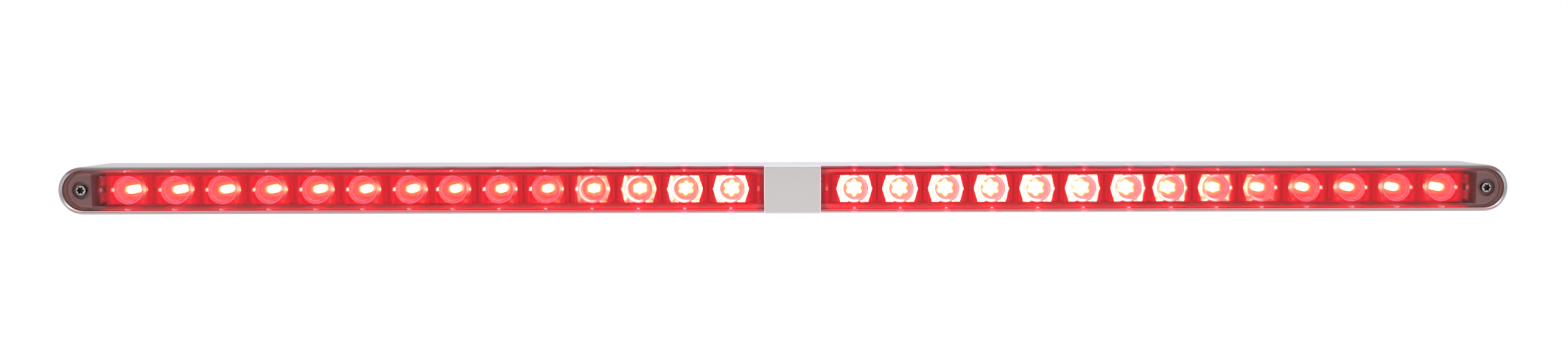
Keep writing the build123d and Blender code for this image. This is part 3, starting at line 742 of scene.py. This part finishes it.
# %% Unevenness in moulded plastic, as masks for painted glow
def speckle(material, x, y, z, size=0.55):
    """Unevenness in moulded plastic, as masks for painted glow: soft streaks, about 1, and rare bright
    sparks of painted glint, 0 or 1.
    """
    place = material.node_tree.nodes.new("ShaderNodeTexCoord").outputs["Object"]
    values = []
    for scale, stretch in ((1 / (size * MM), 0.2), (1.6 / (size * MM), 0.5)):
        mapping = material.node_tree.nodes.new("ShaderNodeMapping")
        mapping.inputs["Scale"].default_value = (1.0, stretch, 1.0)
        noise = material.node_tree.nodes.new("ShaderNodeTexNoise")
        noise.inputs["Scale"].default_value = scale
        noise.inputs["Detail"].default_value = 1
        material.node_tree.links.new(place, mapping.inputs["Vector"])
        material.node_tree.links.new(mapping.outputs[0], noise.inputs["Vector"])
        values.append(noise.outputs["Fac"])
    streaks = maths(material, "MULTIPLY_ADD", values[0], 1.6, 0.2)
    sparks = maths(material, "MULTIPLY", maths(material, "SUBTRACT", values[1], 0.67), 12, clamp=True)
    return streaks, sparks


print("speckle ready")

# %% The cup's glow
STAR_RADIUS, STAR_RAY = 2.3, 0.1
CUP_RIPPLE = 0.85
CUP_FLOOR = BOARD_FRONT + 1.5


def cup_finish():
    material = finish("painted_glow_cup", (0.15, 0.004, 0.008), 0, (0.10, 0.18), grain=900, depth=0.06)
    principled(material).inputs["Specular IOR Level"].default_value = 0.04
    x, y, z = lying_coordinates(material)
    bright = brightness(material, x)
    dim = maths(material, "SUBTRACT", 1, bright)
    across = from_nearest_led(material, x, signed=True)
    squares = [maths(material, "POWER", value, 2) for value in (across, y)]
    radius = maths(material, "SQRT", maths(material, "ADD", *squares))
    angle = maths(material, "ARCTAN2", y, across)

    # The star, painted light: six rays where it is bright, a long soft spot where it is dim.
    ray = maths(material, "COSINE", maths(material, "MULTIPLY", angle, 6))
    ray_length = maths(material, "MULTIPLY_ADD", bright, -0.42, -STAR_RAY)
    long_way = maths(material, "COSINE", maths(material, "MULTIPLY", angle, 2))
    long_way = maths(material, "MULTIPLY", long_way, 0.5)
    reach = maths(material, "MULTIPLY_ADD", bright, 0.95, STAR_RADIUS)
    reach = maths(material, "MULTIPLY_ADD", long_way, dim, reach)
    reach = maths(material, "MULTIPLY_ADD", ray, ray_length, reach)
    inside = maths(material, "SUBTRACT", reach, radius)
    floor = band(material, z, CUP_FLOOR, 0.15, 0.3)
    softness = maths(material, "MULTIPLY_ADD", dim, 1.1, 0.4)
    white = product(material, maths(material, "DIVIDE", inside, softness, clamp=True), floor)
    fringe = product(material, band(material, inside, -0.55, 0.6, 0.5), floor)
    fringe = product(material, fringe, maths(material, "MULTIPLY_ADD", bright, 0.65, 0.35))

    # Round the star: painted red glow, painted pink where it is bright, with a painted white highlight
    # arc on the wall's left.
    outside = maths(material, "SUBTRACT", 1, white, clamp=True)
    mouth = band(material, z, CUP_FLOOR + 3.4, 1.2, 0.3)
    left_side = maths(material, "COSINE", angle)
    left_side = maths(material, "MULTIPLY_ADD", left_side, -1.1, 0.45, clamp=True)
    arc = product(material, mouth, left_side, bright)
    pink = product(material, outside, bright, maths(material, "MULTIPLY_ADD", fringe, -0.8, 1))

    # Flaws in the moulding, painted as glow: streaks, fine rings and sparks.
    streaks, sparks = speckle(material, x, y, z)
    streaks = maths(material, "SUBTRACT", streaks, 1.05, clamp=True)
    patches = product(material, outside, streaks)
    ripple = maths(material, "SINE", maths(material, "MULTIPLY", radius, 2 * pi / CUP_RIPPLE))
    ripple = maths(material, "MULTIPLY", maths(material, "SUBTRACT", ripple, 0.8), 5, clamp=True)
    ripple = product(material, outside, ripple)
    sparks = product(material, sparks, band(material, z, CUP_FLOOR + 3.0, 1.5, 0.3))
    add_colours(material,
                (outside, (0.66, 0.008, 0.026)),
                (patches, (0.4, 0.20, 0.25)),
                (ripple, (0.22, 0.17, 0.21)),
                (sparks, (0.9, 0.8, 0.8)),
                (pink, (0.3, 0.20, 0.22)),
                (fringe, (0.25, 0.34, 0.0)),
                (white, (7, 4.5, 2.0)),
                (arc, (4, 3.6, 2.8)))
    return material


print("cup floor", round(CUP_FLOOR, 2), "mm forward")

# %% Painted glow on the cup's outside and the ring's edge, painted glints on the mirrors


def foot_finish():
    """The outside of the cup, with painted glow: as bright as an emitter at its foot, plain red from
    half way up.
    """
    material = finish("cup_foot", (0.4, 0.03, 0.04), 0, (0.2, 0.3), grain=900)
    x, y, z = lying_coordinates(material)
    foot = product(material, band(material, z, CUP_FLOOR - 0.1, 1.9, 0.7), brightness(material, x))
    seam = maths(material, "MULTIPLY_ADD", band(material, y, 0.5, 0.1, 0.5), -0.93, 1)
    foot = product(material, foot, seam)
    spot = band(material, z, CUP_FLOOR - 0.1, 1.6, 0.5)
    spot = product(material, spot, band(material, y, 0, 0.7, 0.5))
    add_colours(material, (1.0, (0.55, 0.012, 0.03)), (foot, (22, 17, 10)), (spot, (5, 3.5, 2)))
    return material


def paint_mirror_glints(material):
    """Painted glints at each side point of a funnel, a painted red glow all over, and painted red
    reflection where it is dim.
    """
    x, y, z = lying_coordinates(material)
    sideways = band(material, from_nearest_led(material, x), 6.7, 0.1, 0.5)
    glint = product(material, sideways, band(material, y, 0, 0.1, 0.8))
    add_colours(material, (1.0, (0.30, 0.004, 0.012)), (glint, (3.5, 2.8, 1.9)))
    dim = maths(material, "SUBTRACT", 1, brightness(material, x))
    recolour(material, dim, (0.60, 0.07, 0.08))


def ring_edge_finish():
    """The ring's outer wall, with a painted glow that shows as a thin pink circle."""
    material = finish("ring_edge", (0.8, 0.1, 0.15), 0, (0.1, 0.2), grain=1200)
    x, y, z = lying_coordinates(material)
    bright = brightness(material, x)
    add_colours(material, (1.0, (0.80, 0.06, 0.13)), (bright, (0.1, 0.06, 0.08)))
    principled(material).inputs["Alpha"].default_value = 0.92
    return material


ring_edge = ring_edge_finish()
paint_mirror_glints(mirror)
cup_glow, foot_glow = cup_finish(), foot_finish()
print("cup glow ready")

# %% [markdown]
# A disc, its ring and its cup are all round about one axis, so each is a profile spun once round. The
# profile is cut where the finish changes, and the parts meet again when doubles are merged.

# %% Disc, ring and cup
ROUND = 48
RING = [(4.5, 0.0), (4.7, 0.32), (4.95, 0.45), (5.6, 0.45), (5.93, 0.3), (5.93, -0.05)]
CUP_WALL = [(3.75, 0.0), (4.32, 1.0), (4.84, 2.0), (5.27, 3.0), (5.60, 4.0), (5.70, 4.35)]
CUP_THICKNESS = 0.14
DISC_BACK = CELL_FRONT + 0.1


def optics_strip(name, led_places):
    bm = bmesh.new()
    face = OPTIC_FRONT - 0.45
    for x in led_places:
        inner = [(r, CUP_FLOOR + z) for r, z in CUP_WALL]
        outer = [(r + CUP_THICKNESS, z) for r, z in reversed(inner)]
        spun(bm, [(0, CUP_FLOOR)] + inner + outer[:1], (x, 0), ROUND, 1)
        spun(bm, outer + [(3.8, CUP_FLOOR - 0.1), (0, CUP_FLOOR - 0.1)], (x, 0), ROUND, 2)
    for x in led_places:
        front = [(r, face + z) for r, z in RING]
        spun(bm, [(0, face)] + front[:1], (x, 0), ROUND)
        spun(bm, front[:2], (x, 0), ROUND, 3)
        spun(bm, front[1:4], (x, 0), ROUND)
        spun(bm, front[3:] + [(5.85, DISC_BACK)], (x, 0), ROUND, 3)
        spun(bm, [(5.85, DISC_BACK), (0, DISC_BACK)], (x, 0), ROUND)
    low, high = min(led_places) - 1.5, max(led_places) + 1.5
    for way in (-1, 1):
        bottom, top = sorted((way * 5.98, way * 6.6))
        box(bm, (low, bottom, DISC_BACK), (high, top, DISC_BACK + 0.6), 0.12)
        for x in led_places:
            bottom, top = sorted((way * 5.85, way * 6.05))
            box(bm, (x - 1.5, bottom, DISC_BACK + 0.02), (x + 1.5, top, DISC_BACK + 0.55))
    return stand(bm, name, "lamp", [optic_plastic, cup_glow, foot_glow, ring_edge])


print(f"ring {2 * RING[-1][0]:.1f} mm across")

# %% Make the four rows
for side in SIDES:
    for end, leds in MODULES.items():
        strip = optics_strip(f"{side}_{end}_discs", led_x[side][leds])
        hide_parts(f"{side}_{end}_optics")
print("four rows of discs")

# %% [markdown]
# ## The emitters
#
# A square white package with cut corners, and a dome of clear silicone on top. It is drawn once per
# place, small enough that a few hundred faces are plenty.

# %% Draw an emitter
PACKAGE_FRONT = BOARD_FRONT + 1.4
PACKAGE_SIDE, CUT_CORNER = 5, 0.6
DOME_RADIUS, DOME_HEIGHT = 1.75, 1.6
DOME_STEPS = 8


def emitter(name, x):
    bm = bmesh.new()
    middle = Matrix.Translation((x, 0, (BOARD_FRONT + PACKAGE_FRONT) / 2))
    size = Matrix.Diagonal((PACKAGE_SIDE, PACKAGE_SIDE, PACKAGE_FRONT - BOARD_FRONT, 1))
    bmesh.ops.create_cube(bm, size=1, matrix=middle @ size)
    upright = [e for e in bm.edges if abs(e.verts[0].co.z - e.verts[1].co.z) > 0.5]
    bmesh.ops.bevel(bm, geom=upright, offset=CUT_CORNER, segments=1, profile=0.5,
                    affect="EDGES", material=-1)
    top = [e for e in bm.edges if all(v.co.z > PACKAGE_FRONT - 0.01 for v in e.verts)]
    bmesh.ops.bevel(bm, geom=top, offset=0.12, segments=2, profile=0.5, affect="EDGES", material=-1)
    angles = [step * pi / 2 / DOME_STEPS for step in range(DOME_STEPS + 1)]
    dome = [(DOME_RADIUS * cos(a), PACKAGE_FRONT + DOME_HEIGHT * sin(a)) for a in angles]
    spun(bm, dome, (x, 0), 24)
    for face in bm.faces:
        if face.calc_center_median().z > PACKAGE_FRONT + 0.01:
            face.material_index = 1
    return stand(bm, name, "lamp", [package_light, dome_light])


print(f"dome {2 * DOME_RADIUS} mm across")

# %% Make the emitters
for side in SIDES:
    for number, x in zip(LEDS, led_x[side]):
        piece = emitter(f"{side}_emitter_{number:02d}", x)
        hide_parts(f"{side}_led_{number:02d}")
print(2 * len(LEDS), "emitters")

# %% [markdown]
# ## The lens
#
# The lens is a clear acrylic lid with square walls. Its walls carry light like a window's edge,
# painted
# on as glow: a thin red line runs along its top and bottom, with a small painted white speck opposite
# every emitter.

# %% Lens finish
RIB_INSET = 14.0
LIT_HALF_LENGTH = FIRST_LED + LAST_STEP * LED_PITCH


def lens_finish():
    material = clear("clear_lens", (1, 0.97, 0.97), (0.01, 0.03), 1.49, LENS_BODY)
    x, y, z = lying_coordinates(material)
    height = maths(material, "ABSOLUTE", y)
    from_bar = maths(material, "ABSOLUTE", from_bar_middle(material, x))
    lit_part = band(material, from_bar, 0, LIT_HALF_LENGTH + 8, 4)

    # The painted red glow of the edge lines, and a painted white speck on them opposite each emitter.
    red = product(material, band(material, height, BAR_HALF_HEIGHT, 0.45, 0.2), lit_part)
    speck = product(material, red, band(material, from_nearest_led(material, x), 0, 0.2, 0.45))

    # The moulded rib inside each end with a painted red glow, its painted bright middle, and the two
    # fingers beside it, faintly glowing.
    behind = maths(material, "LESS_THAN", z, LENS_FRONT - 1.65)
    rib = product(material, band(material, from_bar, BAR_HALF_LENGTH - RIB_INSET, 0.4, 0.2), behind)
    rib = product(material, rib, band(material, height, 0, 6, 0.2))
    dot = product(material, rib, band(material, height, 0, 0.5, 0.6))
    fingers = band(material, from_bar, BAR_HALF_LENGTH - RIB_INSET + 1.6, 1.2, 0.2)
    fingers = product(material, fingers, behind, band(material, height, 0, 2.0, 0.2))

    # The round end wall, past the lit part, with a faint painted glow.
    past = maths(material, "SUBTRACT", from_bar, BAR_HALF_LENGTH - BAR_HALF_HEIGHT)
    past = maths(material, "MAXIMUM", past, 0)
    squares = [maths(material, "POWER", value, 2) for value in (past, y)]
    from_centre = maths(material, "SQRT", maths(material, "ADD", *squares))
    unlit = maths(material, "SUBTRACT", 1, lit_part)
    end_wall = product(material, rising(material, from_centre, 6.3, 0.6), unlit)
    add_colours(material,
                (red, (0.50, 0.005, 0.012)),
                (speck, (0.55, 0.45, 0.47)),
                (end_wall, (0.05, 0.022, 0.022)),
                (rib, (0.22, 0.002, 0.006)),
                (dot, (0.5, 0.1, 0.1)),
                (fingers, (0.03, 0.001, 0.002)))
    principled(material).inputs["Emission Strength"].default_value = 1 / LENS_BODY
    return material


print(f"lit for {2 * LIT_HALF_LENGTH:.0f} mm of each bar")

# %% [markdown]
# The base is dark plastic, but beside the reflector strips it stands in red light, and close to the
# cap a little leaks round the strips' ends. That is painted by position too.

# %% The glow on the base's inner walls
def base_glow(material):
    """The walls beside the strip are lit red, more towards the lamp's middle and by each emitter."""
    x, y, z = lying_coordinates(material)
    from_bar = maths(material, "ABSOLUTE", from_bar_middle(material, x))
    beside = band(material, from_bar, 0, LIT_HALF_LENGTH + 10, 3)
    inward = falling(material, from_middle(material, x), 300, 240)
    opposite = band(material, from_nearest_led(material, x), 0, 1.5, 5)
    strength = maths(material, "MULTIPLY_ADD", inward, 0.4, 0.08)
    strength = maths(material, "MULTIPLY_ADD", opposite, 0.3, strength)
    lit_wall = product(material, beside, strength)
    beside_cap = band(material, from_middle(material, x), 0, 20, 6)
    add_colours(material, (lit_wall, (1.0, 0.008, 0.02)), (beside_cap, (0.22, 0.003, 0.01)))


base_glow(finishes["dark_base_plastic"])
print("base lit")

# %% Lens into the list
finishes["clear_lens"] = lens_finish()
finishes["clear_optic"] = optic_plastic
finishes["mirror_coating"] = mirror
finishes["lit_led"] = dome_light
print("lens ready")

# %% [markdown]
# ## Give every carried-over piece its finish
#
# The record names the slot each piece takes its finish from, so the pieces and the finishes meet
# there. The cap is plated too, but softer than the housing.

# %% Assign finishes
def dress(piece, material):
    for slot in piece.material_slots:
        slot.material = material


slot_of = {part["node"]: part["material_slot"] for part in frame["record"]["subparts"]}
for name, piece in nodes.items():
    material = finishes[slot_of[name]]
    dress(piece, cap_chrome if name == "centre_cap" else material)
print(len(nodes), "pieces dressed")

# %% [markdown]
# ## The floor
#
# The lamp is shown as if held up in a bright white room, so the floor is pale, plain and well below
# it, where it gives the chrome something soft to reflect and shows no hard shadow.

# %% Lay the floor
FLOOR_LEVEL = -0.30

bm = bmesh.new()
lower = Matrix.Translation((0, 0, FLOOR_LEVEL))
bmesh.ops.create_grid(bm, x_segments=1, y_segments=1, size=12, matrix=lower)
mesh = bpy.data.meshes.new("floor")
bm.to_mesh(mesh)
bm.free()
floor = bpy.data.objects.new("floor", mesh)
mesh.materials.append(finish("pale_floor", (0.92, 0.92, 0.92), 0, (0.8, 0.9), grain=8, depth=0.01))
bpy.context.scene.collection.objects.link(floor)
print("floor at", FLOOR_LEVEL, "m")
